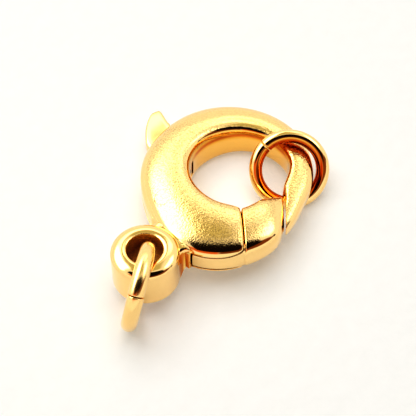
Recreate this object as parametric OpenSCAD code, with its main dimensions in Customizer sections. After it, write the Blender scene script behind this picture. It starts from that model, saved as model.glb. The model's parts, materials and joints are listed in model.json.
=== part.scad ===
// Lobster clasp with a ring in its eye and a ring on its hook, lying on a flat surface.
// The clasp is drawn flat about the centre of its opening, with +X from the eye to the
// hook's crown, and is then tipped and lifted the way it lies on its two rings.

/* [Claw] */
// Facets along the crescent
crescent_steps = 60; // [30:1:72]
// Facets around the crescent's section
section_steps = 28; // [16:4:32]
// Width of the slot between the two cheeks
slot_w = 1.08; // [1.0:0.02:1.2]

/* [Eye] */
// Distance from the opening's centre to the eye's centre
eye_reach = 7.95; // [7.9:0.05:8.0]
// Outer radius of the eye
eye_r = 1.88; // [1.84:0.02:1.9]
// Radius of the bore through the eye
eye_bore_r = 1.0; // [0.98:0.01:1.01]
// Height of the eye
eye_h = 2.7; // [2.6:0.05:2.75]
// Rounding of the eye's upper outer edge
eye_edge = 0.45; // [0.3:0.05:0.5]
// Rounding of the eye's lower outer edge
eye_low_edge = 0.2; // [0.15:0.05:0.45]
// Rounding of the bore's edges
bore_edge = 0.18; // [0.1:0.02:0.2]

/* [Lever] */
// Running gap between the lever and the claw
lever_gap = 0.1; // [0.08:0.01:0.12]
// Radius of the pivot pin
pin_r = 0.5; // [0.45:0.01:0.5]
// Radial clearance of the lever's bore on the pin
pin_clearance = 0.05; // [0.03:0.01:0.08]
// Radial clearance of the pin in the cheeks
rivet_clearance = 0.01; // [0.01:0.005:0.02]

/* [Rings] */
// Outer diameter of the ring in the eye
eye_ring_od = 5.0; // [4.96:0.01:5.04]
// Wire diameter of the ring in the eye
eye_ring_wire = 0.9; // [0.86:0.01:0.92]
// Outer diameter of the ring on the hook
hook_ring_od = 4.66; // [4.62:0.01:4.7]
// Wire diameter of the ring on the hook
hook_ring_wire = 0.77; // [0.74:0.01:0.8]
// Width of the cut where each ring closes
ring_cut_w = 0.05; // [0.03:0.01:0.08]

/* [Lie] */
// Angle that the eye's side of the clasp is raised by
lie_tilt = 7.0; // [6.8:0.1:7.2]

/* [Hidden] */

// Columns: angle and radius of the inner wall, angle and radius of the outer wall, thickness.
// Angles are about the opening's centre, from +X. The first row is the hook's tip, and the
// last is the end at the gate.
CRESCENT = [
    [-84.4, 3.15, -107.5, 4.78, 1.35],
    [-75.0, 2.72, -84.0, 4.22, 1.55],
    [-60.0, 2.66, -65.0, 4.16, 1.65],
    [-40.0, 2.85, -42.0, 4.28, 1.80],
    [-20.0, 2.85, -20.0, 4.50, 1.95],
    [10.0, 2.78, 10.0, 4.82, 2.12],
    [41.0, 2.74, 41.0, 5.14, 2.30],
    [70.0, 2.72, 70.0, 5.34, 2.60],
    [100.0, 2.78, 100.0, 5.50, 2.80],
    [131.0, 2.80, 131.0, 5.72, 2.95],
    [155.0, 2.80, 155.0, 5.86, 3.00],
    [180.0, 2.80, 180.0, 6.30, 3.00],
    [197.0, 2.80, 197.0, 6.55, 2.95],
    [211.0, 2.80, 211.0, 6.35, 2.85],
    [220.0, 2.92, 222.6, 5.95, 2.60]];

// The same columns for the gate, from the cheeks to the hook's tip.
GATE = [
    [-138.4, 2.92, -136.3, 5.95, 2.50],
    [-123.0, 2.62, -125.0, 5.55, 2.40],
    [-110.0, 2.48, -115.0, 5.12, 2.15],
    [-97.0, 2.62, -108.6, 4.62, 1.70],
    [-84.5, 2.94, -107.0, 4.50, 1.15]];
gate_steps = 20;

// Section: how square the inner and the outer half are, across the width and up the height.
INNER_WIDE = 2.3;
INNER_HIGH = 3.0;
OUTER_WIDE = 2.2;
OUTER_HIGH = 3.2;
// How far the section's crown stands off the middle, towards the opening.
CROWN = 0.35;

// Thumb tab: columns are X and Y of its outline, from its root at the eye's side round the tip.
TAB = [
    [-1.90, 5.00], [-1.90, 5.45], [-1.48, 6.00], [-1.01, 6.43], [-0.45, 6.79], [0.00, 6.98],
    [0.34, 7.02], [0.56, 6.98], [0.66, 6.84], [0.64, 6.64], [0.50, 6.30], [0.33, 5.86], [0.20, 5.20]];

pivot = [-4.70, 1.60];
eye = [-eye_reach, 0];
// The eye's rim stands 1.2 above the claw's middle, and the rest of it hangs below.
eye_mid = 1.2 - eye_h / 2;

// The slot's end wall past the thumb tab, from the inner wall to the outer one.
slot_end_inner = [-1.06, 2.49];
slot_end_outer = [0.30, 5.60];
far = 9;

// The web that closes the slot behind the eye.
web_x = -5.75;
web_low = -1.80;
web_high = 0.75;
web_arc_r = 1.20;

// The neck between the eye and the cheeks, hollowed on its near side.
neck_low = -1.1;
neck_high = 0.9;
neck = [
    [-7.00, 1.05], [-7.05, -1.60], [-6.94, -1.53], [-6.83, -1.48], [-6.72, -1.45], [-6.62, -1.44],
    [-6.52, -1.46], [-6.42, -1.52], [-6.33, -1.60], [-6.25, -1.70], [-5.95, -1.70], [-5.95, 1.05]];

lever_t = slot_w - 2 * lever_gap;
flush = 0.03;
heel_slope = 0.3;
hub_r = 1.05;

// The lie: the clasp turns about this direction in its own plane.
lie_dir = -49;
lie_axis = [cos(lie_dir), sin(lie_dir), 0];
lie_side = [-sin(lie_dir), cos(lie_dir)];

// Rings: compass direction and lean of each one's axis, its centre seen from above, and the
// angle of its cut from its lowest point.
eye_ring_turn = 120;
eye_ring_lean = 80.5;
eye_ring_at = [-9.30, -0.74];
eye_ring_cut = 139;
hook_ring_turn = 223.6;
hook_ring_lean = 41.6;
hook_ring_at = [2.32, -1.80];
hook_ring_cut = 223;

// A smooth curve through the rows of a table: rows k - 1 to k + 2 at fraction t past row k.
function row(tab, k) = tab[max(0, min(len(tab) - 1, k))];
function slope(tab, k) =
    (row(tab, k + 1) - row(tab, k - 1)) / (min(len(tab) - 1, k + 1) - max(0, k - 1));
function between(tab, k, t) =
    (2 * t ^ 3 - 3 * t ^ 2 + 1) * row(tab, k) + (t ^ 3 - 2 * t ^ 2 + t) * slope(tab, k)
    + (3 * t ^ 2 - 2 * t ^ 3) * row(tab, k + 1) + (t ^ 3 - t ^ 2) * slope(tab, k + 1);
function along(tab, s) =
    let (k = min(len(tab) - 2, floor(s))) between(tab, k, s - k);

function polar(angle, radius) = [radius * cos(angle), radius * sin(angle)];
function power(value, exponent) = sign(value) * abs(value) ^ exponent;

// One section: a rounded oval stood across the station, inner half and outer half apart.
function section(st, steps) =
    let (inner = polar(st[0], st[1]), outer = polar(st[2], st[3]))
    [for (i = [0:steps - 1])
        let (t = 360 * (i + 0.5) / steps, c = cos(t), s = sin(t),
             wide = c < 0 ? INNER_WIDE : OUTER_WIDE,
             high = c < 0 ? INNER_HIGH : OUTER_HIGH,
             a = power(c, 2 / wide),
             across = (inner + outer) / 2 + (outer - inner) / 2 * (a - CROWN * (1 - a ^ 2)))
        [across.x, across.y, st[4] / 2 * power(s, 2 / high)]];

function loft_points(tab, steps) =
    [for (j = [0:steps]) for (p = section(along(tab, j / steps * (len(tab) - 1)), section_steps)) p];

function tipped_z(p) = p.z * cos(lie_tilt) - (p.x * lie_side.x + p.y * lie_side.y) * sin(lie_tilt);
function ring_centre_z(od, wire, lean) = (od - wire) / 2 * sin(lean) + wire / 2;

crescent_points = loft_points(CRESCENT, crescent_steps);
gate_points = loft_points(GATE, gate_steps);
lift = -min([for (p = crescent_points) tipped_z(p)]);

// The origin: the middle of the whole thing's box, on the surface.
eye_ring_x = eye_ring_at.x
    - (eye_ring_od - eye_ring_wire) / 2 * sqrt(1 - (sin(eye_ring_lean) * cos(eye_ring_turn)) ^ 2)
    - eye_ring_wire / 2;
middle = [
    (eye_ring_x + max([for (p = crescent_points) p.x])) / 2,
    (min([for (p = gate_points) p.y]) + max([for (p = TAB) p.y])) / 2];

module loft(points, steps) {
    n = section_steps;
    sides = [for (j = [0:steps - 1]) for (i = [0:n - 1])
        [j * n + i, j * n + (i + 1) % n, (j + 1) * n + (i + 1) % n, (j + 1) * n + i]];
    first = [for (i = [n - 1:-1:0]) i];
    last = [for (i = [0:n - 1]) steps * n + i];
    polyhedron(points, concat([first], sides, [last]), convexity = 6);
}

module plate(outline, thickness) {
    linear_extrude(height = thickness, center = true) polygon(outline);
}

// Puts what is drawn flat about the opening's centre where it lies.
module lying() {
    translate([-middle.x, -middle.y, lift]) rotate(a = -lie_tilt, v = lie_axis) children();
}

module slot() {
    reach = slot_end_outer - slot_end_inner;
    difference() {
        plate([
            slot_end_inner - reach * 0.3, slot_end_outer + reach * 0.6,
            [-far, far], [-far, -far], polar(245, far), [0, 0]], slot_w);
        difference() {
            plate([[-far, web_low], [web_x, web_low], [web_x, web_high], [-far, web_high]], 2 * slot_w);
            translate(pivot) cylinder(r = web_arc_r, h = 3 * slot_w, center = true, $fn = 64);
        }
    }
}

module eye_barrel() {
    arcs = 6;
    top = eye_mid + eye_h / 2;
    low = eye_mid - eye_h / 2;
    in = eye_bore_r + bore_edge;
    profile = concat(
        [for (i = [0:arcs]) [eye_r - eye_edge, top - eye_edge] + polar(90 * i / arcs, eye_edge)],
        [for (i = [0:arcs]) [in, top - bore_edge] + polar(90 + 90 * i / arcs, bore_edge)],
        [for (i = [0:arcs]) [in, low + bore_edge] + polar(180 + 90 * i / arcs, bore_edge)],
        [for (i = [0:arcs])
            [eye_r - eye_low_edge, low + eye_low_edge] + polar(270 + 90 * i / arcs, eye_low_edge)]);
    translate(eye) rotate_extrude($fn = 96) polygon(profile);
}

module claw_body() {
    color("gold") lying() difference() {
        union() {
            difference() {
                loft(crescent_points, crescent_steps);
                slot();
            }
            difference() {
                union() {
                    eye_barrel();
                    translate([0, 0, neck_low]) linear_extrude(height = neck_high - neck_low) polygon(neck);
                }
                translate(eye) cylinder(r = eye_bore_r, h = eye_h * 3, center = true, $fn = 96);
            }
        }
        translate(pivot) cylinder(r = pin_r + rivet_clearance, h = far, center = true, $fn = 64);
    }
}

// The lever's plate follows the claw's two walls inside the slot.
module lever_plate() {
    steps = 26;
    from = 7.6;
    to = len(CRESCENT) - 1;
    walls = [for (i = [0:steps]) along(CRESCENT, from + (to - from) * i / steps)];
    reach = slot_end_outer - slot_end_inner;
    inner = [for (i = [steps:-1:0]) polar(walls[i][0], walls[i][1] + flush)];
    outer = [for (i = [0:steps]) polar(walls[i][2], walls[i][3] - flush)];
    root = [polar(229, 5.4), polar(229, 3.3)];
    side = lever_gap * [-reach.y, reach.x] / norm(reach);
    difference() {
        union() {
            plate(concat(inner, outer, root), lever_t);
            plate(TAB, lever_t);
        }
        plate([
            slot_end_inner - reach * 0.5 + side, slot_end_outer + reach * 0.5 + side,
            [far, far], [far, 0]], 2 * slot_w);
        difference() {
            plate([
                [-far, web_low - lever_gap], [web_x + lever_gap, web_low - lever_gap],
                [web_x + lever_gap, web_high], pivot, pivot + far * [-1, heel_slope]], 2 * slot_w);
            translate(pivot) cylinder(r = hub_r, h = 3 * slot_w, center = true, $fn = 64);
        }
    }
}

module lever() {
    color("goldenrod") lying() difference() {
        union() {
            lever_plate();
            loft(gate_points, gate_steps);
        }
        translate(pivot)
            cylinder(r = pin_r + pin_clearance, h = far, center = true, $fn = 64);
    }
}

// The pin's two ends are filed flush with the cheeks.
module pivot_pin() {
    color("khaki") lying() intersection() {
        translate(pivot) cylinder(r = pin_r, h = far, center = true, $fn = 64);
        loft(crescent_points, crescent_steps);
    }
}

module ring(od, wire, turn, lean, at, cut) {
    r = (od - wire) / 2;
    translate([at.x - middle.x, at.y - middle.y, ring_centre_z(od, wire, lean)])
        rotate([0, lean, turn]) difference() {
            rotate_extrude($fn = 96) translate([r, 0]) circle(r = wire / 2, $fn = 48);
            rotate([0, 0, cut]) translate([r, 0, 0]) cube([2 * wire, ring_cut_w, 2 * wire], center = true);
        }
}

module eye_ring() {
    color("orange") ring(eye_ring_od, eye_ring_wire, eye_ring_turn, eye_ring_lean, eye_ring_at, eye_ring_cut);
}

module hook_ring() {
    color("darkorange")
        ring(hook_ring_od, hook_ring_wire, hook_ring_turn, hook_ring_lean, hook_ring_at, hook_ring_cut);
}

claw_body();
lever();
pivot_pin();
eye_ring();
hook_ring();
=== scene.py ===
"""A gold-plated lobster clasp with a ring in its eye and a ring on its hook, lying on a pale surface.

The clasp is worked out flat about the centre of its opening, in millimetres, with +X from the eye
to the hook's crown, and is then tipped the way it lies. Each shape is a surface on a grid.
"""
import json

import bmesh
import bpy
import numpy as np
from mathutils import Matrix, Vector


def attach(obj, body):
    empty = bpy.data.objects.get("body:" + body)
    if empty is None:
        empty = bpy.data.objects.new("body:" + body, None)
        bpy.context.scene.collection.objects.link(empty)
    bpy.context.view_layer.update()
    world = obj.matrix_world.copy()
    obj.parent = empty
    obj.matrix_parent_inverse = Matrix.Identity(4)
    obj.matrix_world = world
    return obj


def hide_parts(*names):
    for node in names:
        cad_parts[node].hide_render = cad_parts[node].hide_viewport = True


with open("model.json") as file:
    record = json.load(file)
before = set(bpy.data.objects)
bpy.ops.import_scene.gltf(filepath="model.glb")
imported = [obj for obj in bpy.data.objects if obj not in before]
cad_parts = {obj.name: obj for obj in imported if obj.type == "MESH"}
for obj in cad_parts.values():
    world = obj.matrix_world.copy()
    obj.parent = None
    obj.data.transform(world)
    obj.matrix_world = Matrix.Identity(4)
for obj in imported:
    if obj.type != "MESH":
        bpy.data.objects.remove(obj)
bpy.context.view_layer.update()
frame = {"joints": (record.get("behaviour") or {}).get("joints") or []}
JOINT = frame["joints"][0]

bl_info = {
    "name": "Lobster clasp",
    "version": (1, 0, 0),
    "blender": (4, 5, 0),
    "location": "3D View > Sidebar > Clasp",
    "description": "Builds a lobster clasp with its lever, pin and two rings",
    "category": "Add Mesh",
}

MM = 0.001

# Where the camera stands, in degrees.
VIEW_AZIMUTH = -49.0
VIEW_ELEVATION = 58.0
# The lie: the clasp is tipped by this about the level line that runs across the view.
LIE_TILT = np.radians(7.0)
# The pivot pin's and the eye's centre.
PIVOT = np.array([-4.70, 1.60])
EYE = np.array([-7.95, 0.0])

# Columns: angle and radius of the inner wall, angle and radius of the outer wall, thickness.
# The first row is the hook's tip, and the last is the end at the gate.
CRESCENT = np.array([
    [-84.4, 3.15, -107.5, 4.78, 1.35],
    [-75.0, 2.72, -84.0, 4.22, 1.55],
    [-60.0, 2.66, -65.0, 4.16, 1.65],
    [-40.0, 2.85, -42.0, 4.28, 1.80],
    [-20.0, 2.85, -20.0, 4.50, 1.95],
    [10.0, 2.78, 10.0, 4.82, 2.12],
    [41.0, 2.74, 41.0, 5.14, 2.30],
    [70.0, 2.72, 70.0, 5.34, 2.60],
    [100.0, 2.78, 100.0, 5.50, 2.80],
    [131.0, 2.80, 131.0, 5.72, 2.95],
    [155.0, 2.80, 155.0, 5.86, 3.00],
    [180.0, 2.80, 180.0, 6.30, 3.00],
    [197.0, 2.80, 197.0, 6.55, 2.95],
    [211.0, 2.80, 211.0, 6.35, 2.85],
    [220.0, 2.92, 222.6, 5.95, 2.60]])

# The same columns for the gate, from the cheeks to the hook's tip.
GATE = np.array([
    [221.0, 2.92, 223.2, 5.95, 2.50],
    [237.0, 2.62, 235.0, 5.55, 2.40],
    [250.0, 2.48, 245.0, 5.12, 2.15],
    [263.0, 2.62, 251.4, 4.62, 1.70],
    [275.5, 2.94, 253.4, 4.50, 1.15]])

# Columns: X and Y of the tab's edge at the eye's side, X and Y of its other edge, thickness.
TAB = np.array([
    [-1.90, 4.70, 0.05, 4.90, 0.88],
    [-1.90, 5.45, 0.22, 5.40, 0.88],
    [-1.48, 6.00, 0.33, 5.86, 0.88],
    [-1.01, 6.43, 0.47, 6.22, 0.87],
    [-0.45, 6.79, 0.60, 6.52, 0.84],
    [0.00, 6.98, 0.66, 6.74, 0.80],
    [0.34, 7.02, 0.66, 6.90, 0.74]])

# How square the section is: inner and outer half, across the width and up the height.
INNER_WIDE = 2.3
INNER_HIGH = 3.0
OUTER_WIDE = 2.2
OUTER_HIGH = 3.2
# How far the section's crown stands off the middle, towards the opening.
CROWN = 0.35
# How many points a section has over its top, up a wall, across a flat side and round a corner.
ARC = 76
WALL = 12
FLAT = 10
FILLET = 5

# The slot: its width, the places along the crescent where its end wall meets the inner and the
# outer wall, and how many places to each side the sections slant with it.
SLOT_W = 1.08
SLOT_END_INNER = 8.42
SLOT_END_OUTER = 7.57
SLANT_REACH = 2.2
# The gap round the lever, and how far its edges lie inside the slot's mouth.
LEVER_GAP = 0.07
LEVER_FLUSH = 0.05
# The web between the cheeks at the eye: its two ends in X and in Y, and how far it runs into them.
WEB_FROM = -6.4
WEB_X = -5.75
WEB_LOW = -1.80
WEB_HIGH = 0.75
WEB_INTO = 0.2
# The lever's round end about the pin, the pin, its seam in the cheeks and its gap in the lever.
HUB_R = 1.05
PIN_R = 0.50
SEAM = 0.012
PIN_GAP = 0.05

# The eye: its two radii, its lower and upper end, the height of its rounded edges, and how far
# its crowned rim comes in from the outside and goes out from the bore.
EYE_R = 1.88
EYE_BORE_R = 1.00
EYE_LOW = -1.50
EYE_TOP = 1.20
EYE_EDGE = 0.45
EYE_LOW_EDGE = 0.35
BORE_EDGE = 0.10
EYE_CROWN = 0.64
EYE_BORE_CROWN = 0.22

# A length past everything, for the solids that cut.
FAR = 9.0


def smooth(x):
    """Rises from 0 to 1 as x does, level at both ends: 3 times its square less 2 times its cube."""
    x = np.clip(x, 0.0, 1.0)
    return x * x * (3 - 2 * x)


def rise(x, start, over):
    """0 up to the start and 1 from that far past it on, smooth in between."""
    return smooth((x - start) / over)


def polar(degrees, radius):
    """The point at an angle and a radius from the opening's centre."""
    a = np.radians(degrees)
    return np.stack([radius * np.cos(a), radius * np.sin(a)], -1)


def rows_at(table, s):
    """A table's rows at the places s, on the curve through them whose bend has no jumps.

    Between rows k and k + 1 it is a cubic, and the second slopes at the rows are those that
    make the first slopes agree, with none at the two ends (a natural cubic spline).
    """
    n = len(table)
    system = np.eye(n)
    bend = np.zeros_like(table)
    inner = np.arange(1, n - 1)
    system[inner, inner] = 4
    system[inner, inner - 1] = 1
    system[inner, inner + 1] = 1
    bend[1:-1] = 6 * (table[:-2] - 2 * table[1:-1] + table[2:])
    bend = np.linalg.solve(system, bend)
    s = np.asarray(s, float)
    k = np.clip(np.floor(s).astype(int), 0, n - 2)
    u = (s - k)[..., None]
    v = 1 - u
    straight = v * table[k] + u * table[k + 1]
    return straight + ((v ** 3 - v) * bend[k] + (u ** 3 - u) * bend[k + 1]) / 6


def crescent_walls(rows):
    """The inner and the outer wall's points of rows that give each by angle and radius."""
    return polar(rows[..., 0], rows[..., 1]), polar(rows[..., 2], rows[..., 3])


def tab_walls(rows):
    """The two edges' points of rows that give each by X and Y."""
    return rows[..., 0:2], rows[..., 2:4]


def lengths_along(table, walls=crescent_walls, per_row=60):
    """Places along a table, and how far each is from its start along the middle line."""
    s = np.linspace(0, len(table) - 1, per_row * len(table))
    inner, outer = walls(rows_at(table, s))
    steps = np.linalg.norm(np.diff((inner + outer) / 2, axis=0), axis=1)
    return s, np.concatenate([[0], np.cumsum(steps)])


def rounding(distance, radius, depth=None):
    """How far a rounded end is drawn in at a distance from its end face: a quarter of an ellipse."""
    depth = radius if depth is None else depth
    x = 1 - np.clip(distance / radius, 0, 1)
    return depth * (1 - np.sqrt(1 - x * x))


def round_steps(radius, steps=9):
    """Distances over a rounded end, at even turns."""
    return radius * (1 - np.cos(np.linspace(0, np.pi / 2, steps)))


def spread(total, step, first, last):
    """Distances from 0 to total, a step apart, and closer together over the two rounded ends."""
    start = round_steps(first) if first else np.array([0.0])
    end = total - round_steps(last)[::-1] if last else np.array([total])
    count = max(2, int((end[0] - start[-1]) / step))
    return np.concatenate([start[:-1], np.linspace(start[-1], end[0], count), end[1:]])


def put(rows, across, height, inset=0.0, walls=crescent_walls):
    """The point at a height and on the line across from the inner wall (-1) to the outer (1).

    Both walls are drawn in by the inset.
    """
    inner, outer = walls(rows)
    span = outer - inner
    width = np.linalg.norm(span, axis=-1, keepdims=True)
    squeeze = 1 - 2 * np.asarray(inset)[..., None] / width
    middle = (inner + outer) / 2
    flat = middle + span / 2 * across[..., None] * squeeze
    return np.concatenate([flat, height[..., None]], -1)


def crowned(across):
    """Leans a section over: its edges stay, and its highest line moves in by the crown's share."""
    return across - CROWN * (1 - across * across)


def squareness(across):
    """The section's two exponents where its plain oval has this cosine, outer half at +1."""
    mix = smooth(across + 0.5)
    wide = INNER_WIDE + (OUTER_WIDE - INNER_WIDE) * mix
    high = INNER_HIGH + (OUTER_HIGH - INNER_HIGH) * mix
    return wide, high


def over_the_top(low_outer, low_inner):
    """The section's outline from a height on the outer wall over the top to one on the inner.

    Heights are shares of half the thickness. It is a superellipse: the cosine and the sine of an
    even turn, each raised to 2 over its exponent.
    """
    start = np.arcsin(low_outer ** (OUTER_HIGH / 2))[..., None]
    end = np.pi - np.arcsin(low_inner ** (INNER_HIGH / 2))[..., None]
    turn = start + (end - start) * np.linspace(0, 1, ARC)
    c, s = np.cos(turn), np.sin(turn)
    wide, high = squareness(c)
    return crowned(np.sign(c) * np.abs(c) ** (2 / wide)), s ** (2 / high)


def wall_at(height, side):
    """How far across the wall is at a height, for the outer (+1) or the inner (-1) side."""
    wide, high = (OUTER_WIDE, OUTER_HIGH) if side > 0 else (INNER_WIDE, INNER_HIGH)
    return crowned(side * (1 - np.abs(height) ** high) ** (1 / wide))


def grid_faces(rows, columns, around=True, caps=()):
    """Quads between neighbouring rows and columns, wrapped round, and caps on the rows asked for."""
    i, j = np.meshgrid(np.arange(rows - 1), np.arange(columns - (not around)), indexing="ij")
    here, beside = i * columns + j, i * columns + (j + 1) % columns
    quads = np.stack([here, beside, beside + columns, here + columns], -1)
    faces = quads.reshape(-1, 4).tolist()
    if 0 in caps:
        faces.append(np.arange(columns)[::-1].tolist())
    if -1 in caps:
        faces.append(((rows - 1) * columns + np.arange(columns)).tolist())
    return faces


# The lie's axis, which is the view's right, level and away from the view, and up.
LIE_AXIS = np.array([np.cos(np.radians(VIEW_AZIMUTH)), np.sin(np.radians(VIEW_AZIMUTH)), 0.0])
LIE_SIDE = np.array([-LIE_AXIS[1], LIE_AXIS[0], 0.0])
UP = np.array([0.0, 0.0, 1.0])


def tipped(points):
    """Turns points by the lie's tilt about the lie's axis, the eye's side up."""
    along, side, high = points @ LIE_AXIS, points @ LIE_SIDE, points @ UP
    c, s = np.cos(LIE_TILT), np.sin(LIE_TILT)
    return (along[..., None] * LIE_AXIS + (side * c + high * s)[..., None] * LIE_SIDE
            + (high * c - side * s)[..., None] * UP)


# The opening's centre in the frame, in millimetres, from the lever's joint.
OPENING = np.array(JOINT["pos_m"]) / MM - tipped(np.array([*PIVOT, 0.0]))


def lying(points):
    """Points worked out flat, in millimetres, where they lie in the frame, in metres."""
    return (tipped(points) + OPENING) * MM


def closed_object(name, points, faces):
    """An object of points in metres, its doubled points joined and its normals outward.

    A mesh with a hole is refused.
    """
    mesh = bpy.data.meshes.new(name)
    mesh.from_pydata(points, [], faces)
    work = bmesh.new()
    work.from_mesh(mesh)
    bmesh.ops.remove_doubles(work, verts=work.verts, dist=1e-4 * MM)
    bmesh.ops.dissolve_degenerate(work, edges=work.edges, dist=1e-5 * MM)
    bmesh.ops.recalc_face_normals(work, faces=work.faces)
    if work.calc_volume(signed=True) < 0:
        bmesh.ops.reverse_faces(work, faces=work.faces)
    loose = [e for e in work.edges if len(e.link_faces) != 2]
    if loose:
        raise RuntimeError(f"{name} isn't closed: {len(loose)} edges")
    work.to_mesh(mesh)
    work.free()
    return object_of(mesh)


def object_of(data):
    """An object for a mesh, a lamp or a camera, in the scene, at the origin."""
    obj = bpy.data.objects.new(data.name, data)
    bpy.context.scene.collection.objects.link(obj)
    return obj


def sewn(name, parts):
    """A solid sewn from several grids: each is its points, in flat millimetres, and its faces."""
    points, faces, start = [], [], 0
    for part_points, part_faces in parts:
        flat = part_points.reshape(-1, 3)
        points.append(flat)
        faces += [[start + i for i in face] for face in part_faces]
        start += len(flat)
    return closed_object(name, lying(np.concatenate(points)), faces)


def skinned(name, points):
    """A solid skinned over one row of sections, each a loop of points, capped at both ends."""
    return sewn(name, [(points, grid_faces(*points.shape[:2], caps=(0, -1)))])


def combined(target, others, operation):
    """The target with the other solids added to it, taken from it, or kept where both are."""
    for other in others:
        step = target.modifiers.new(operation, "BOOLEAN")
        step.operation = operation
        step.solver = "MANIFOLD"
        step.object = other
    graph = bpy.context.evaluated_depsgraph_get()
    result = bpy.data.meshes.new_from_object(target.evaluated_get(graph))
    result.name = target.name
    target.modifiers.clear()
    target.data = result
    for other in others:
        bpy.data.objects.remove(other)
    return target


def shade(obj, crisp=34):
    """Smooth shading, with edges sharper than an angle in degrees left crisp."""
    obj.data.shade_smooth()
    obj.data.set_sharp_from_angle(angle=np.radians(crisp))


# The claw

# How many turns settled takes.
AGREE = 4


def skewed(sigma, across):
    """The place along the crescent: near the slot's end wall it slants from wall to wall."""
    middle = (SLOT_END_INNER + SLOT_END_OUTER) / 2
    slant = (SLOT_END_OUTER - SLOT_END_INNER) / 2
    near = smooth(1 - np.abs(sigma - middle) / SLANT_REACH)
    return sigma + slant * across * near


def settled(sigma, inset, section):
    """Rows of the crescent at each point, with half their thickness, inset and last section.

    The place is slanted near the slot's end by how far across a point is, and the section gives
    that from half the thickness, so the two are worked out in turn until they agree.
    """
    s, deep = sigma[:, None], inset[:, None]
    for _ in range(AGREE):
        found = section(rows_at(CRESCENT, s)[..., 4] / 2 - deep)
        s = skewed(sigma[:, None], found[0])
    rows = rows_at(CRESCENT, s)
    return rows, rows[..., 4] / 2 - deep, deep, found


def crescent_arc(sigma, low, inset, side):
    """A sheet of the crescent over its top (side 1) or under it (side -1), between heights low."""
    rows, half, deep, (across, height) = settled(
        sigma, inset, lambda half: over_the_top(low / half[:, 0], low / half[:, -1]))
    return put(rows, across, side * height * half, deep)


def crescent_wall(sigma, low, high, inset, n, side):
    """A sheet of one wall between two heights, evenly divided."""
    z = low[:, None] + (high - low)[:, None] * np.linspace(0, 1, n)
    rows, _, deep, (across,) = settled(sigma, inset, lambda half: (wall_at(z / half, side),))
    return put(rows, across, z, deep)


def joined(*stretches):
    """Stretches of the sections end to end, each without its last point, which starts the next."""
    return np.concatenate([stretch[:, :-1] for stretch in stretches], 1)


def loop_sections(sigma, low, inset):
    """Whole sections of the crescent: outer wall, over the top, inner wall, and underneath."""
    outer = crescent_wall(sigma, -low, low, inset, WALL, 1)
    top = crescent_arc(sigma, low, inset, 1)
    inner = crescent_wall(sigma, low, -low, inset, WALL, -1)
    under = crescent_arc(sigma, low, inset, -1)[:, ::-1]
    return joined(outer, top, inner, under)


def between_points(a, b, n):
    """n points from a to b, along a new axis."""
    t = np.linspace(0, 1, n)[:, None]
    return a[..., None, :] * (1 - t) + b[..., None, :] * t


def bent(a, corner, b, n):
    """A rounded corner: from a to b on the quadratic curve that the corner pulls on."""
    t = np.linspace(0, 1, n)[:, None]
    a, corner, b = a[..., None, :], corner[..., None, :], b[..., None, :]
    return a * (1 - t) ** 2 + 2 * corner * t * (1 - t) + b * t ** 2


def toward(a, b, distance):
    """The point at a distance from a on the way to b."""
    way = b - a
    return a + way / np.linalg.norm(way, axis=-1, keepdims=True) * distance[..., None]


# How far apart the crescent's sections stand, and how its ends and the slot's edges are rounded.
SECTION_STEP = 0.1
JOINT_ROUND = 0.13
TIP_ROUND = 0.10
SLOT_ROUND = 0.07
# The slot's floor widens to the cheeks' ends by a quarter of an ellipse, this long and this high.
CORNER_LONG = 1.0
CORNER_HIGH = 0.26
# The most of half the thickness that the plain walls take, and a length too small to see.
WALL_SHARE = 0.7
TINY = 1e-9


def claw_shell():
    """The crescent, solid from the hook's tip to the slot's end and two cheeks from there on.

    Each is a row of looped sections along the table, drawn in by a quarter circle at its end.
    """
    places, far = lengths_along(CRESCENT)
    middle = (SLOT_END_INNER + SLOT_END_OUTER) / 2
    cut = np.interp(middle, places, far)
    half_slot = SLOT_W / 2

    d = spread(cut, SECTION_STEP, TIP_ROUND, 0)
    sigma = np.interp(d, far, places)
    sigma[-1] = middle
    inset = rounding(d, TIP_ROUND)
    low = np.minimum(half_slot, WALL_SHARE * (rows_at(CRESCENT, sigma)[:, 4] / 2 - inset))
    body = loop_sections(sigma, low, inset)
    parts = [(body, grid_faces(*body.shape[:2], caps=(0,)))]

    # The slot's end wall, ruled between the two walls of the last section.
    end = sigma[-1:], -low[-1:], low[-1:], np.zeros(1), WALL
    outer, inner = [crescent_wall(*end, side)[0] for side in (1, -1)]
    parts.append((between_points(inner, outer, FLAT), grid_faces(WALL, FLAT, around=False)))

    to_end = spread(far[-1] - cut, SECTION_STEP, 0, JOINT_ROUND)
    d = cut + to_end
    sigma = np.interp(d, far, places)
    sigma[0] = middle
    left = far[-1] - d
    inset = rounding(left, JOINT_ROUND)
    floor = half_slot + rounding(left, CORNER_LONG, CORNER_HIGH)
    soft = SLOT_ROUND * rise(to_end, start=0, over=0.4) + TINY
    for side in (1, -1):
        arc = crescent_arc(sigma, floor + soft, inset, side)
        edge = sigma, side * floor, side * floor, inset, 1
        corner_out, corner_in = [crescent_wall(*edge, wall)[:, 0] for wall in (1, -1)]
        flat_in, flat_out = toward(corner_in, corner_out, soft), toward(corner_out, corner_in, soft)
        sheet = joined(
            arc, bent(arc[:, -1], corner_in, flat_in, FILLET),
            between_points(flat_in, flat_out, FLAT), bent(flat_out, corner_out, arc[:, 0], FILLET))
        parts.append((sheet, grid_faces(*sheet.shape[:2], caps=(-1,))))
    return sewn("claw", parts)


def prism(name, outline, height):
    """A straight-sided solid over an outline in X and Y, half of its height above and below it."""
    outline = np.asarray(outline, float)
    n = len(outline)
    levels = [np.column_stack([outline, np.full(n, z)]) for z in (-height / 2, height / 2)]
    return skinned(name, np.stack(levels))


def circle(steps=128):
    """Points round a circle of radius 1, at even turns."""
    a = np.linspace(0, 2 * np.pi, steps, endpoint=False)
    return np.stack([np.cos(a), np.sin(a)], -1)


def cylinder(name, centre, radius, height):
    """A prism over a circle."""
    return prism(name, centre + radius * circle(), height)


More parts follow.
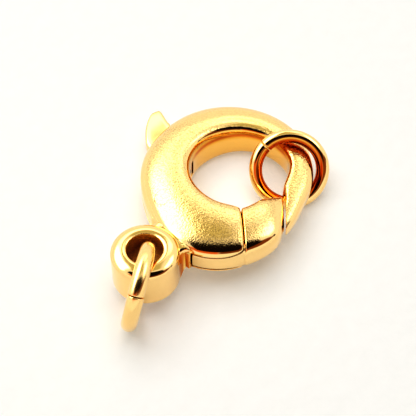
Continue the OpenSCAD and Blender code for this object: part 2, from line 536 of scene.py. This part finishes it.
def turned(name, centre, profile):
    """A closed profile of radius and height carried round an upright axis."""
    flat = centre + profile[None, :, :1] * circle()[:, None, :]
    high = np.broadcast_to(profile[None, :, 1:], (*flat.shape[:2], 1))
    points = np.concatenate([flat, high], -1)
    points = np.concatenate([points, points[:1]])
    return sewn(name, [(points, grid_faces(*points.shape[:2]))])


def quarter(start, n, radii, centre):
    """A quarter of an ellipse, from an angle in degrees on, counter-clockwise."""
    return polar(start + np.linspace(0, 90, n), 1.0) * radii + centre


# How many points each of the eye's four corners has, from the upper outer one on round.
EYE_STEPS = (20, 16, 10, 12)


def eye_profile():
    """The eye's wall: four straight sides with rounded corners.

    The rim is crowned: its two upper corners are quarters of ellipses, nearly meeting at the top.
    """
    corners = (
        ([EYE_CROWN, EYE_EDGE], [EYE_R - EYE_CROWN, EYE_TOP - EYE_EDGE]),
        ([EYE_BORE_CROWN, BORE_EDGE], [EYE_BORE_R + EYE_BORE_CROWN, EYE_TOP - BORE_EDGE]),
        (BORE_EDGE, [EYE_BORE_R + BORE_EDGE, EYE_LOW + BORE_EDGE]),
        (EYE_LOW_EDGE, [EYE_R - EYE_LOW_EDGE, EYE_LOW + EYE_LOW_EDGE]))
    return np.concatenate([
        quarter(90 * i, n, *corner) for i, (n, corner) in enumerate(zip(EYE_STEPS, corners))])


# The neck: its heights at the eye, how far its lower edge rises to the cheeks, its far side in Y, its
# start in the eye, its near side's end and its own end in X, and the radius of its top edges.
NECK_LOW = -1.42
NECK_HIGH = 0.85
NECK_RISE = 0.75
NECK_FAR = 1.05
NECK_START = -7.05
NECK_NEAR_END = -6.25
NECK_END = -5.95
NECK_ROUND = 0.35
# The near side's waist in X and Y, the squares' factors to its left and right, and its points.
NECK_WAIST = (-6.62, -1.44)
NECK_OPENS = (0.85, 1.9)
NECK_POINTS = 21


def neck_shell():
    """The neck between the eye and the cheeks: an outline carried up, its top edges rounded.

    Its near side is two parabolas that meet at the waist. Its lower edge rises to the cheeks.
    """
    x = np.linspace(NECK_START, NECK_NEAR_END, NECK_POINTS)
    waist_x, waist_y = NECK_WAIST
    near = waist_y - np.where(x < waist_x, *NECK_OPENS) * (x - waist_x) ** 2
    outline = np.concatenate([
        [[NECK_START, NECK_FAR]], np.stack([x, near], -1),
        [[NECK_END, near[-1]], [NECK_END, NECK_FAR]]])
    levels = np.concatenate([[NECK_LOW], NECK_HIGH - round_steps(NECK_ROUND)[::-1]])
    inset = rounding(NECK_HIGH - levels, NECK_ROUND)
    points = np.repeat(outline[None], len(levels), 0)
    points[:, 1:-1, 1] += inset[:, None]
    points[:, [0, -1], 1] -= inset[:, None]
    lift = NECK_RISE * rise(outline[:, 0], start=-6.75, over=0.45)
    share = (NECK_HIGH - levels[:, None]) / (NECK_HIGH - NECK_LOW)
    high = levels[:, None] + lift * share
    return skinned("neck", np.concatenate([points, high[..., None]], -1))


def build_claw():
    """The crescent, the web, the neck and the eye as one solid, with the pin's hole through it."""
    claw = claw_shell()
    bore = cylinder("bore", EYE, EYE_BORE_R, FAR)
    neck = neck_shell()
    web = prism("web", [[WEB_FROM, WEB_LOW], [WEB_X, WEB_LOW], [WEB_X, WEB_HIGH],
                        [WEB_FROM, WEB_HIGH]], SLOT_W + WEB_INTO)
    neck = combined(neck, [bore], "DIFFERENCE")
    eye = turned("eye", EYE, eye_profile())
    claw = combined(claw, [web, neck, eye], "UNION")
    claw = combined(claw, [cylinder("hole", PIVOT, PIN_R + SEAM, FAR)], "DIFFERENCE")
    shade(claw)
    return claw


# The lever

# The plate: its first place along the crescent, its sections, and its long edges' rounding and
# points. It ends past the tab on the line between an angle and radius, and an X and Y.
PLATE_START = 7.6
PLATE_SECTIONS = 110
PLATE_ROUND = 0.06
PLATE_FILLET = FILLET + 4
PLATE_END_INNER = (114.0, 2.71)
PLATE_END_OUTER = (0.30, 5.60)
# How steeply the heel's cut rises from the pin to the eye's side.
HEEL_SLOPE = 0.3
# The gate: its rounding at the cheeks and at the hook, and how far apart its sections stand.
GATE_ROUND = 0.13
GATE_TIP_ROUND = 0.06
GATE_STEP = 0.08
# The tab: its rounding, and how far apart its sections stand, their points and their squareness.
TAB_ROUND = 0.12
TAB_STEP = 0.05
TAB_POINTS = 96
TAB_SQUARE = 7


def lever_shell():
    """The lever's plate inside the slot, widening to the gate, as one row of sections.

    The plate follows the crescent and thickens by a quarter of an ellipse to the gate's table.
    """
    places, far = lengths_along(CRESCENT)
    gate_places, gate_far = lengths_along(GATE)
    half = SLOT_W / 2 - LEVER_GAP
    d = np.linspace(np.interp(PLATE_START, places, far), far[-1], PLATE_SECTIONS)
    plate_half = half + rounding(far[-1] - d, CORNER_LONG, CORNER_HIGH)
    rows = rows_at(CRESCENT, np.interp(d, far, places))
    rows[:, 1] += LEVER_FLUSH
    rows[:, 3] -= LEVER_FLUSH
    plate = plate_sections(rows, plate_half, np.full(len(d), PLATE_ROUND))

    # The gate's face rounds over above the plate only, so the plate runs on into it without a step.
    g = spread(gate_far[-1], GATE_STEP, GATE_ROUND, GATE_TIP_ROUND)
    start, end = rounding(g, GATE_ROUND), rounding(gate_far[-1] - g, GATE_TIP_ROUND)
    gate = full_sections(rows_at(GATE, np.interp(g, gate_far, gate_places)), half, start, end)
    return skinned("lever_and_gate", np.concatenate([plate, gate]))


def plate_sections(rows, half, soft):
    """Sections of the plate: the walls' own curve, and two flat sides with rounded corners."""
    high = rows[:, 4] / 2
    t = np.linspace(0, 1, WALL)
    z = (half - soft)[:, None] * (2 * t - 1)
    outer, inner = [put(rows[:, None], wall_at(z / high[:, None], side), z) for side in (1, -1)]
    flats = []
    for up in (1, -1):
        a, b = [put(rows, wall_at(half / high, side), up * half) for side in (1, -1)]
        edge = -1 if up > 0 else 0
        out_flat, in_flat = toward(a, b, soft), toward(b, a, soft)
        flats.append(np.concatenate([
            joined(bent(outer[:, edge], a, out_flat, PLATE_FILLET),
                   between_points(out_flat, in_flat, ARC - 2 * PLATE_FILLET + 2)),
            bent(in_flat, b, inner[:, edge], PLATE_FILLET)], 1))
    top, under = flats
    return joined(outer, top, inner[:, ::-1], under[:, ::-1])


def full_sections(rows, low, start, end):
    """Whole sections of the gate, in the same order as the plate's.

    Its two ends are drawn in: at the start only above and below the plate's height, from nothing
    at the plate to all of it a little way off.
    """
    rows, start, end = rows[:, None], start[:, None], end[:, None]
    half = rows[..., 4] / 2 - start - end
    z = np.full_like(half, low) * (2 * np.linspace(0, 1, WALL) - 1)
    outer, inner = [put(rows, wall_at(z / half, side), z, end) for side in (1, -1)]
    across, height = over_the_top(low / half[:, 0], low / half[:, 0])
    high = height * half
    deep = start * rise(high, start=low, over=0.35) + end
    top, under = [put(rows, across, side * high, deep) for side in (1, -1)]
    return joined(outer, top, inner[:, ::-1], under[:, ::-1])


def tab_shell():
    """The thumb tab: a row of rounded oblongs between its two edges, closed by a rounded end.

    An oblong is the cosine and the sine of a turn, each raised to 2 over the squareness.
    """
    places, far = lengths_along(TAB, tab_walls)
    d = spread(far[-1], TAB_STEP, 0, TAB_ROUND)
    rows = rows_at(TAB, np.interp(d, far, places))[:, None]
    turn = circle(TAB_POINTS)
    across, height = (np.sign(turn) * np.abs(turn) ** (2 / TAB_SQUARE)).T
    deep = rounding(far[-1] - d, TAB_ROUND)[:, None]
    return skinned("tab", put(rows, across, height * (rows[..., 4] / 2 - deep), deep, tab_walls))


def build_lever():
    """The plate, gate and tab as one solid, cut off past the tab and at the heel, with its hole."""
    lever = lever_shell()
    tab = tab_shell()
    inner = polar(*PLATE_END_INNER)
    outer = np.array(PLATE_END_OUTER)
    reach = outer - inner
    side = LEVER_GAP * np.array([-reach[1], reach[0]]) / np.linalg.norm(reach)
    past_end = prism("past_end", [
        inner - reach / 2 + side, outer + reach / 2 + side, [FAR, FAR], [FAR, 0]], 2 * SLOT_W)
    heel = prism("heel", [
        [-FAR, WEB_LOW - LEVER_GAP], [WEB_X + LEVER_GAP, WEB_LOW - LEVER_GAP],
        [WEB_X + LEVER_GAP, WEB_HIGH], PIVOT, PIVOT + FAR * np.array([-1, HEEL_SLOPE])], 2 * SLOT_W)
    heel = combined(heel, [cylinder("hub", PIVOT, HUB_R, 3 * SLOT_W)], "DIFFERENCE")
    lever = combined(lever, [tab], "UNION")
    lever = combined(lever, [past_end, heel], "DIFFERENCE")
    lever = combined(lever, [cylinder("hole", PIVOT, PIN_R + PIN_GAP, FAR)], "DIFFERENCE")
    shade(lever)
    return lever


# The places along the crescent between which the pin is, and the sections that cut it flush.
PIN_PLACES = (9.5, 13)
PIN_SECTIONS = 90


def build_pin():
    """The pin: a cylinder, cut off flush by the crescent's own outer shape."""
    places, far = lengths_along(CRESCENT)
    d = np.linspace(*np.interp(PIN_PLACES, places, far), PIN_SECTIONS)
    sigma = np.interp(d, far, places)
    low = np.full(len(sigma), SLOT_W / 2)
    shell = skinned("shell", loop_sections(sigma, low, np.zeros(len(sigma))))
    pin = combined(cylinder("pin", PIVOT, PIN_R, FAR), [shell], "INTERSECT")
    shade(pin)
    return pin


# The rings

# How many points the wire has round it, its sections, and the rounding of its two ends.
WIRE_STEPS = 48
RING_SECTIONS = 220
RING_END_ROUND = 0.05
WIRE_TURN = np.linspace(0, 2 * np.pi, WIRE_STEPS, endpoint=False)
# The slipped end eases back over this many radii, and goes outward by this share of its slip.
SLIP_REACH = 1.2
SLIP_OUT = 0.4
# Each ring: its piece, node and gold, its turn and lean, its centre in X and Y from the opening's,
# the place of its cut round it, and how far one end is slipped aside. Angles are in degrees.
RINGS = (
    ("ring_in_eye", "eye_ring", "rubbed gold", 120.0, 80.5, (-9.30, -0.74), 139.0, 0.02),
    ("ring_on_hook", "hook_ring", "polished gold", 223.6, 41.6, (2.32, -1.80), 223.0, 0.03))


def ring_object(name, across, wire, gap, turn, lean, centre, cut, slip):
    """A wire carried round a circle and cut through: its two ends stand a gap apart.

    The ends are drawn in, and one is slipped aside, as on a ring that was opened and closed.
    """
    turn, lean, cut = np.radians([turn, lean, cut])
    r = (across - wire) / 2
    half = gap / 2 / r
    length = 2 * r * (np.pi - half)
    ends = round_steps(RING_END_ROUND, steps=7)
    middle = np.linspace(RING_END_ROUND, length - RING_END_ROUND, RING_SECTIONS)
    d = np.concatenate([ends[:-1], middle, (length - ends[::-1])[1:]])
    shrink = rounding(np.minimum(d, length - d), RING_END_ROUND)
    aside = slip * smooth(1 - d / (SLIP_REACH * r))[:, None]
    thick = (wire / 2 - shrink)[:, None]
    out = r + SLIP_OUT * aside + thick * np.cos(WIRE_TURN)
    up = thick * np.sin(WIRE_TURN) + aside
    a = (cut + half + d / r)[:, None]
    local = np.stack([out * np.cos(a), out * np.sin(a), up], -1)
    middle_height = r * np.sin(lean) + wire / 2
    points = local @ ring_axes(turn, lean) + np.array([*(OPENING[:2] + centre), middle_height])
    faces = grid_faces(*points.shape[:2], caps=(0, -1))
    obj = closed_object(name, points.reshape(-1, 3) * MM, faces)
    shade(obj, crisp=50)
    return obj


def ring_axes(turn, lean):
    """A ring's own axes: to its lowest point, level along it, and square to it."""
    ct, st, cl, sl = np.cos(turn), np.sin(turn), np.cos(lean), np.sin(lean)
    return np.array([[cl * ct, cl * st, -sl], [-st, ct, 0], [sl * ct, sl * st, cl]])


# Materials

def feed(tree, node, sockets):
    """Links a node's sockets, by name or number, to other nodes' outputs, or sets their values."""
    for place, value in sockets.items():
        if isinstance(value, bpy.types.NodeSocket):
            tree.links.new(value, node.inputs[place])
        else:
            node.inputs[place].default_value = value


def add_node(tree, kind, sockets, **fields):
    """A new shader node with its fields set and its sockets fed."""
    node = tree.nodes.new("ShaderNode" + kind)
    for field, value in fields.items():
        setattr(node, field, value)
    feed(tree, node, sockets)
    return node


def multiply(tree, a, b):
    """The product of two values, each a node's output or a number."""
    return add_node(tree, "Math", {0: a, 1: b}, operation="MULTIPLY").outputs[0]


# The mix node's sockets for colours, by number, as each kind of value has its own pair.
MIX_SHARE, MIX_FIRST, MIX_SECOND, MIX_RESULT = 0, 6, 7, 2


def mix_colours(tree, share, first, second, blend="MIX"):
    """The first colour where the share is 0, going over to the blend with the second where it's 1."""
    sockets = {MIX_SHARE: share, MIX_FIRST: first, MIX_SECOND: second}
    return add_node(tree, "Mix", sockets, data_type="RGBA", blend_type=blend).outputs[MIX_RESULT]


def bumped(tree, height, depth):
    """The normal of a surface raised by a height between 0 and 1, which stands for a depth in mm."""
    sockets = {"Height": height, "Distance": depth * MM, "Strength": 1.0}
    return add_node(tree, "Bump", sockets).outputs["Normal"]


def new_material(name):
    """A new material with its node tree and its shader."""
    material = bpy.data.materials.new(name)
    material.use_nodes = True
    return material, material.node_tree, material.node_tree.nodes["Principled BSDF"]


# The tumbled metal's waves, in waves a millimetre, and their share of the grain's height.
WAVES = 1.3
WAVE_SHARE = 0.3
# The plating's colour in the pits, as a share, and what it is multiplied by halfway up the painted
# bounce, the painted shade and reddened reflection of light bounced from gold to gold.
PIT_TINT = 0.74
HALF_PAINTED_BOUNCE = (0.89, 0.71, 0.26, 1)
# Each kind of gold: its roughness where polished, if not the setting's, and its grain's depth in mm.
KINDS = {
    "satin and polished gold": (None, 0.016),
    "polished gold": (None, 0.004),
    "rubbed gold": (0.20, 0.004),
}


def make_grain_group():
    """Blasted grain: fine pits, and the slow waviness of tumbled metal, as one height.

    The height is a fine noise times the satin, and a share of a slow noise. The speckle is the
    fine noise, stretched between two values, times the satin.
    """
    group = bpy.data.node_groups.new("blasted grain", "ShaderNodeTree")
    for label, way in (("Satin", "INPUT"), ("Grain size mm", "INPUT"), ("Height", "OUTPUT"),
                       ("Speckle", "OUTPUT")):
        group.interface.new_socket(label, in_out=way, socket_type="NodeSocketFloat")
    satin, size = group.nodes.new("NodeGroupInput").outputs[:2]
    place = add_node(group, "TexCoord", {}).outputs["Object"]
    scale = add_node(group, "Math", {0: 1 / MM, 1: size}, operation="DIVIDE").outputs[0]
    fine = add_node(group, "TexNoise", {"Vector": place, "Scale": scale, "Detail": 2.0}).outputs["Fac"]
    slow = add_node(group, "TexNoise", {"Vector": place, "Scale": WAVES / MM, "Detail": 1.0})
    heights = {0: multiply(group, fine, satin), 1: multiply(group, slow.outputs["Fac"], WAVE_SHARE)}
    height = add_node(group, "Math", heights, operation="ADD").outputs[0]
    specks = add_node(group, "MapRange", {"Value": fine, "From Min": 0.46, "From Max": 0.60})
    speckle = multiply(group, specks.outputs["Result"], satin)
    feed(group, group.nodes.new("NodeGroupOutput"), {"Height": height, "Speckle": speckle})
    return group


def gold(kind):
    """Gold plate: metal, polished, and blasted where the piece's satin attribute says.

    Where the painted bounce attribute says, the colour goes over to the deep gold: painted shade and
    reddened reflection, standing in for light bounced from gold to gold.
    """
    if kind in bpy.data.materials:
        return bpy.data.materials[kind]
    look = bpy.context.scene.clasp_finish
    polish, depth = KINDS[kind]
    material, tree, shader = new_material(kind)
    satin = add_node(tree, "Attribute", {}, attribute_name="satin").outputs["Fac"]
    hollow = add_node(tree, "Attribute", {}, attribute_name="hollow").outputs["Fac"]
    group = bpy.data.node_groups.get("blasted grain") or make_grain_group()
    sockets = {"Satin": satin, "Grain size mm": look.grain / MM}
    grain = add_node(tree, "Group", sockets, node_tree=group)
    pits = (*(PIT_TINT * np.array(look.gold)), 1)
    tint = mix_colours(tree, grain.outputs["Speckle"], (*look.gold, 1), pits)
    # Painted shade and reddened reflection: the colour is multiplied from white, where the mask is 0,
    # to the deep gold over the gold, where it is 1.
    ramp = add_node(tree, "ValToRGB", {0: hollow})
    steps = ramp.color_ramp.elements
    steps[0].color = (1, 1, 1, 1)
    steps[1].color = (*(np.array(look.deep) / look.gold), 1)
    steps.new(0.5).color = HALF_PAINTED_BOUNCE
    sockets = {"Value": satin, "To Min": polish or look.polish, "To Max": look.satin}
    rough = add_node(tree, "MapRange", sockets, clamp=False)
    feed(tree, shader, {
        "Base Color": mix_colours(tree, 1.0, tint, ramp.outputs["Color"], "MULTIPLY"),
        "Metallic": 1.0,
        "Roughness": rough.outputs["Result"],
        "Normal": bumped(tree, grain.outputs["Height"], depth)})
    return material


def flat_again(obj):
    """A mesh's points and normals as they are before the clasp is tipped, in millimetres."""
    n = len(obj.data.vertices)
    points, normals = np.empty(n * 3), np.empty(n * 3)
    obj.data.vertices.foreach_get("co", points)
    obj.data.vertices.foreach_get("normal", normals)
    points = points.reshape(-1, 3) / MM - OPENING
    turn_back = np.stack([tipped(v) for v in np.eye(3)])
    return points @ turn_back.T, normals.reshape(-1, 3) @ turn_back.T


def finish(obj, kind, body, node, satin, hollow=None):
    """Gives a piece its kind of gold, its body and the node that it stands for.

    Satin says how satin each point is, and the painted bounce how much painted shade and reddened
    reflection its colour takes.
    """
    hollow = np.zeros(len(satin)) if hollow is None else hollow
    for name, values in (("satin", satin), ("hollow", hollow)):
        layer = obj.data.attributes.new(name, "FLOAT", "POINT")
        layer.data.foreach_set("value", values.astype(np.float32))
    obj.data.materials.clear()
    obj.data.materials.append(gold(kind))
    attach(obj, body)
    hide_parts(node)


# The claw's bore: how rough it is against satin, and how much painted shade and reddened reflection it
# takes.
BORE_ROUGH = 4.5
BORE_PAINTED_BOUNCE = 0.7
# The far inner wall: its radius at most, how much painted shade it takes, how much more its line of
# painted reflection takes, and that line's height and width.
WALL_R = 3.1
WALL_PAINTED_BOUNCE = 0.36
LINE_PAINTED_REFLECTION = 0.64
LINE_HEIGHT = 0.60
LINE_WIDTH = 0.17
# The neck's near side: its reach in X, its top, and how much painted shade it takes.
NECK_SIDE_FROM = -6.95
NECK_SIDE_TO = -5.98
NECK_SIDE_TOP = 0.62
NECK_PAINTED_BOUNCE = 0.9
# A point this near a wall is on it.
ON_WALL = 0.03
OFF_WALL = 0.01


def tops(normals, above, over):
    """1 on the faces that look up or down and 0 on the walls, by the height of the normal."""
    return rise(np.abs(normals[:, 2]), above, over)


def claw_finish(points, normals):
    """How satin the claw is at each of its points, and how much painted shade and reddened reflection
    its colour takes.

    The tops are satin, fading off at the eye and towards the far side. Painted shade and reddened
    reflection go on the eye's bore, on the crescent's far inner wall, most of all along a line of
    painted reflection, a bell curve over the height, and on the neck's near side.
    """
    x, height, to_far = points[:, 0], points[:, 2], points @ LIE_SIDE
    upright = np.abs(normals[:, 2])
    from_eye = np.linalg.norm(points[:, :2] - EYE, axis=1)
    from_middle = np.linalg.norm(points[:, :2], axis=1)
    bore = from_eye < EYE_BORE_R + ON_WALL
    wall = rise(to_far, start=0, over=1.5) * (from_middle < WALL_R) * (upright < 0.6)
    line = np.exp(-((height - LINE_HEIGHT) / LINE_WIDTH) ** 2)
    neck = (x > NECK_SIDE_FROM) * (x < NECK_SIDE_TO) * (points[:, 1] < 0)
    neck = neck * (from_eye > EYE_R + OFF_WALL) * (upright < 0.5) * (height < NECK_SIDE_TOP)
    # Painted shade and reddened reflection on the bore, the far inner wall and its line.
    hollow = np.maximum(BORE_PAINTED_BOUNCE * bore, wall * (WALL_PAINTED_BOUNCE + LINE_PAINTED_REFLECTION * line))
    top = tops(normals, above=0.75, over=0.15) * rise(from_eye, start=EYE_R, over=0.3)
    top = top * (1 - 0.7 * rise(to_far, start=2.4, over=1.2))
    return np.maximum(top, BORE_ROUGH * bore), np.maximum(hollow, NECK_PAINTED_BOUNCE * neck)


# Settings and operators

def length_prop(name, text, value):
    """A length setting, given in millimetres."""
    return bpy.props.FloatProperty(
        name=name, description=text, default=value * MM, min=0.0, unit="LENGTH")


def share_prop(name, text, value):
    """A setting from 0 to 1."""
    return bpy.props.FloatProperty(name=name, description=text, default=value, min=0.0, max=1.0)


def colour_prop(name, text, value):
    """A colour setting."""
    return bpy.props.FloatVectorProperty(
        name=name, description=text, default=value, subtype="COLOR", size=3, min=0.0, max=1.0)


class ClaspFinish(bpy.types.PropertyGroup):
    """The plating's colour, the deep colour of its painted shade and reddened reflection, its two
    roughnesses and its grain
    """
    gold: colour_prop("Gold", "Colour of the plating", (0.97, 0.685, 0.31))
    # The deep gold is painted shade and reddened reflection, standing in for light bounced from gold
    # to gold.
    deep: colour_prop("Deep gold", "Colour in the hollows, by gold in gold", (0.62, 0.15, 0.02))
    polish: share_prop("Polish", "Roughness of the polished sides", 0.08)
    satin: share_prop("Satin", "Roughness of the blasted tops", 0.17)
    grain: length_prop("Grain", "Size of the blasted grain", 0.10)


class ClaspRings(bpy.types.PropertyGroup):
    """The two rings' diameters, wires and cut"""
    eye_across: length_prop("Eye ring", "Outer diameter of the ring in the eye", 5.0)
    eye_wire: length_prop("Eye ring wire", "Wire of the ring in the eye", 0.9)
    hook_across: length_prop("Hook ring", "Outer diameter of the ring on the hook", 4.66)
    hook_wire: length_prop("Hook ring wire", "Wire of the ring on the hook", 0.77)
    gap: length_prop("Cut", "Gap between a ring's two ends", 0.05)


class CLASP_OT_claw(bpy.types.Operator):
    """Build the claw: cheeks, hook, neck and eye"""
    bl_idname = "clasp.claw"
    bl_label = "Claw"

    def execute(self, context):
        claw = build_claw()
        satin, hollow = claw_finish(*flat_again(claw))
        finish(claw, "satin and polished gold", "claw", "claw_body", satin, hollow)
        return {"FINISHED"}


class CLASP_OT_lever(bpy.types.Operator):
    """Build the lever: gate, plate and thumb tab"""
    bl_idname = "clasp.lever"
    bl_label = "Lever"

    def execute(self, context):
        lever = build_lever()
        points, normals = flat_again(lever)
        near_side = rise(-points[:, 1], start=-0.5, over=1.0)
        satin = tops(normals, above=0.8, over=0.15) * near_side
        finish(lever, "satin and polished gold", "lever", "lever", satin)
        return {"FINISHED"}


class CLASP_OT_pin(bpy.types.Operator):
    """Build the pivot pin, flush with the cheeks"""
    bl_idname = "clasp.pin"
    bl_label = "Pivot pin"

    def execute(self, context):
        pin = build_pin()
        satin = tops(flat_again(pin)[1], above=0.55, over=0.25)
        finish(pin, "satin and polished gold", "claw", "pivot_pin", satin)
        return {"FINISHED"}


class CLASP_OT_rings(bpy.types.Operator):
    """Build the two cut rings"""
    bl_idname = "clasp.rings"
    bl_label = "Rings"

    def execute(self, context):
        size = context.scene.clasp_rings
        sizes = ((size.eye_across, size.eye_wire), (size.hook_across, size.hook_wire))
        # Painted shade and reddened reflection on the inner side of each ring's wire, towards the
        # ring's middle.
        inward = rise(-np.cos(WIRE_TURN), start=-0.10, over=0.5)
        for (name, node, kind, *place), (across, wire) in zip(RINGS, sizes):
            ring = ring_object(name, across / MM, wire / MM, size.gap / MM, *place)
            hollow = np.tile(inward, len(ring.data.vertices) // WIRE_STEPS)
            finish(ring, kind, "claw", node, np.zeros(len(hollow)), hollow)
        return {"FINISHED"}


class CLASP_OT_stage(bpy.types.Operator):
    """Build the floor, the room, the light and the camera"""
    bl_idname = "clasp.stage"
    bl_label = "Stage"

    def execute(self, context):
        build_floor()
        build_world()
        build_light()
        build_camera()
        return {"FINISHED"}


# Stage

# The sheet: half its side in mm, its two tones, and its pebbles, in pebbles a millimetre and in mm
# of height.
SHEET_HALF = 240.0
SHEET_DARK = (0.70, 0.695, 0.68, 1)
SHEET_LIGHT = (0.75, 0.745, 0.735, 1)
PEBBLES = 1.1
PEBBLE_HEIGHT = 0.06
# What the camera is aimed at, and its distance from there, in mm.
AIM = OPENING + np.array([-1.717, 0.911, -2.170])
CAMERA_DISTANCE = 70.0
# The lamp: its direction as room_direction takes it, its side and distance in mm, and its radiance.
LAMP_WAY = (-0.10, 0.15)
LAMP_SIDE = 280.0
LAMP_DISTANCE = 250.0
LAMP_RADIANCE = 2.6


def build_floor():
    """The pale sheet that the clasp lies on: one square, with its pebble and its painted glow in the
    material.
    """
    corners = SHEET_HALF * np.array([[-1, -1, 0], [1, -1, 0], [1, 1, 0], [-1, 1, 0]])
    mesh = bpy.data.meshes.new("floor")
    mesh.from_pydata(corners * MM, [], [[0, 1, 2, 3]])
    floor = object_of(mesh)
    material, tree, shader = new_material("white sheet")
    place = add_node(tree, "TexCoord", {}).outputs["Object"]
    sockets = {"Vector": place, "Scale": PEBBLES / MM, "Detail": 3.0}
    pebble = add_node(tree, "TexNoise", sockets).outputs["Fac"]
    feed(tree, shader, {
        "Base Color": mix_colours(tree, pebble, SHEET_DARK, SHEET_LIGHT),
        "Normal": bumped(tree, pebble, PEBBLE_HEIGHT),
        "Roughness": 0.6,
        # Painted glow: the sheet gives off a faint warm light of its own, which lightens the shadows
        # on it and lights the clasp from below.
        "Emission Color": (1.0, 0.965, 0.88, 1),
        "Emission Strength": 0.25})
    mesh.materials.append(material)


def build_camera():
    """The camera, on its view direction through the aim."""
    down = np.radians(VIEW_ELEVATION)
    forward = LIE_SIDE * np.cos(down) - UP * np.sin(down)
    data = bpy.data.cameras.new("camera")
    data.lens = 102.98
    data.sensor_width = 36.0
    data.clip_start = 1.0 * MM
    camera = object_of(data)
    camera.location = (AIM - CAMERA_DISTANCE * forward) * MM
    camera.rotation_euler = Vector(forward).to_track_quat("-Z", "Y").to_euler()
    bpy.context.scene.camera = camera


def room_direction(right, away):
    """A direction over the clasp: how far right of the view and away from it, for each step up."""
    way = right * LIE_AXIS + away * LIE_SIDE + UP
    return way / np.linalg.norm(way)


def room_patch(tree, place, corners, soft):
    """A patch of the room between corner directions: 1 inside, and falling to 0 over its edges.

    It is the product of a smooth step for each edge, in how far a direction is off its plane.
    """
    ways = [room_direction(*corner) for corner in corners]
    middle = np.sum(ways, axis=0)
    inside = None
    for a, b in zip(ways, ways[1:] + ways[:1]):
        square = np.cross(a, b)
        square *= np.sign(square @ middle) / np.linalg.norm(square)
        off = add_node(tree, "VectorMath", {0: place, 1: tuple(square)}, operation="DOT_PRODUCT")
        sockets = {"Value": off.outputs["Value"], "From Min": -soft, "From Max": soft}
        edge = add_node(tree, "MapRange", sockets, interpolation_type="SMOOTHSTEP").outputs["Result"]
        inside = edge if inside is None else multiply(tree, inside, edge)
    return inside


# The room's patches: corners as room_direction takes them, softness of the edge, colour.
ROOM = (
    (((-0.6, 0.9), (0.5, 0.9), (0.95, 1.6), (-1.1, 1.8)), 0.1, (2.2, 2.15, 1.9)),
    (((-0.3, 0.3), (-0.3, 0.9), (-1.1, 1.6), (-2.2, 1.2), (-2.3, -0.5), (-1.2, -0.35)),
     0.06, (3.7, 3.6, 3.05)),
    (((0.6, 0.15), (0.62, 0.62), (1.1, 0.85), (1.75, 0.5), (1.2, -0.1), (0.7, -0.02)),
     0.06, (3.0, 2.9, 2.5)),
    (((-1.3, -0.75), (-1.3, -1.7), (0.1, -1.7), (0.1, -0.8)), 0.06, (0.7, 0.17, 0.04)),
    (((0.1, -0.8), (0.1, -1.6), (2.4, -1.8), (3.2, -0.25), (1.1, -0.3)),
     0.06, (0.22, 0.07, 0.02)),
    (((2.4, 0.0), (2.4, -0.35), (5.0, -0.6), (5.0, 0.0)), 0.03, (0.05, 0.03, 0.01)),
    (((0.0, -0.04), (-0.55, -0.12), (-0.9, -0.42), (-0.8, -1.02), (0.8, -1.02),
      (1.2, -0.5), (0.6, -0.12)), 0.03, (0.012, 0.008, 0.004)),
    (((-0.24, 0.8), (0.1, 0.8), (0.42, 0.1), (-0.4, 0.02)), 0.06, (0.54, 0.51, 0.28)),
    (((-0.22, 0.75), (-0.05, 0.75), (0.1, 1.18), (-0.06, 1.24)), 0.04, (0.5, 0.46, 0.28)),
    (((-0.04, 1.12), (0.08, 1.1), (0.32, 1.3), (0.18, 1.42)), 0.04, (0.7, 0.66, 0.44)),
)
ROOM_WHITE = (0.96, 0.95, 0.91, 1)


def build_world():
    """A white room with soft panels, and the dark opening that the camera looks in through."""
    world = bpy.data.worlds.new("room")
    bpy.context.scene.world = world
    world.use_nodes = True
    tree = world.node_tree
    place = add_node(tree, "TexCoord", {}).outputs["Generated"]
    colour = ROOM_WHITE
    for corners, soft, patch in ROOM:
        colour = mix_colours(tree, room_patch(tree, place, corners, soft), colour, (*patch, 1))
    feed(tree, tree.nodes["Background"], {"Color": colour, "Strength": 1.0})
    world.cycles_visibility.diffuse = False


def build_light():
    """One square soft light over the clasp, facing it, that no gold mirrors."""
    way = room_direction(*LAMP_WAY)
    data = bpy.data.lights.new("overhead", "AREA")
    data.shape = "RECTANGLE"
    data.size = LAMP_SIDE * MM
    data.size_y = LAMP_SIDE * MM
    data.energy = LAMP_RADIANCE * np.pi * LAMP_SIDE * LAMP_SIDE * MM * MM
    lamp = object_of(data)
    lamp.location = way * LAMP_DISTANCE * MM
    lamp.rotation_euler = Vector(-way).to_track_quat("-Z", "Y").to_euler()
    lamp.visible_glossy = False


class CLASP_PT_panel(bpy.types.Panel):
    """The clasp's settings, and a button for each group of pieces"""
    bl_label = "Lobster clasp"
    bl_space_type = "VIEW_3D"
    bl_region_type = "UI"
    bl_category = "Clasp"

    def draw(self, context):
        layout = self.layout
        for group in (context.scene.clasp_finish, context.scene.clasp_rings):
            for name in group.__annotations__:
                layout.prop(group, name)
        for operator in OPERATORS:
            layout.operator(operator.bl_idname)


OPERATORS = (CLASP_OT_claw, CLASP_OT_lever, CLASP_OT_pin, CLASP_OT_rings, CLASP_OT_stage)
CLASSES = (ClaspFinish, ClaspRings, *OPERATORS, CLASP_PT_panel)


def register():
    """Registers the classes and hangs the two groups of settings on the scene."""
    for cls in CLASSES:
        bpy.utils.register_class(cls)
    bpy.types.Scene.clasp_finish = bpy.props.PointerProperty(type=ClaspFinish)
    bpy.types.Scene.clasp_rings = bpy.props.PointerProperty(type=ClaspRings)


def unregister():
    """Takes the settings off the scene and the classes out again."""
    del bpy.types.Scene.clasp_rings
    del bpy.types.Scene.clasp_finish
    for cls in reversed(CLASSES):
        bpy.utils.unregister_class(cls)


def main():
    """Builds every piece and the stage."""
    register()
    view = bpy.context.scene.view_settings
    view.view_transform = "Standard"
    view.look = "High Contrast"
    view.exposure = -0.25
    bpy.ops.clasp.claw()
    bpy.ops.clasp.lever()
    bpy.ops.clasp.pin()
    bpy.ops.clasp.rings()
    bpy.ops.clasp.stage()


if __name__ == "__main__":
    main()
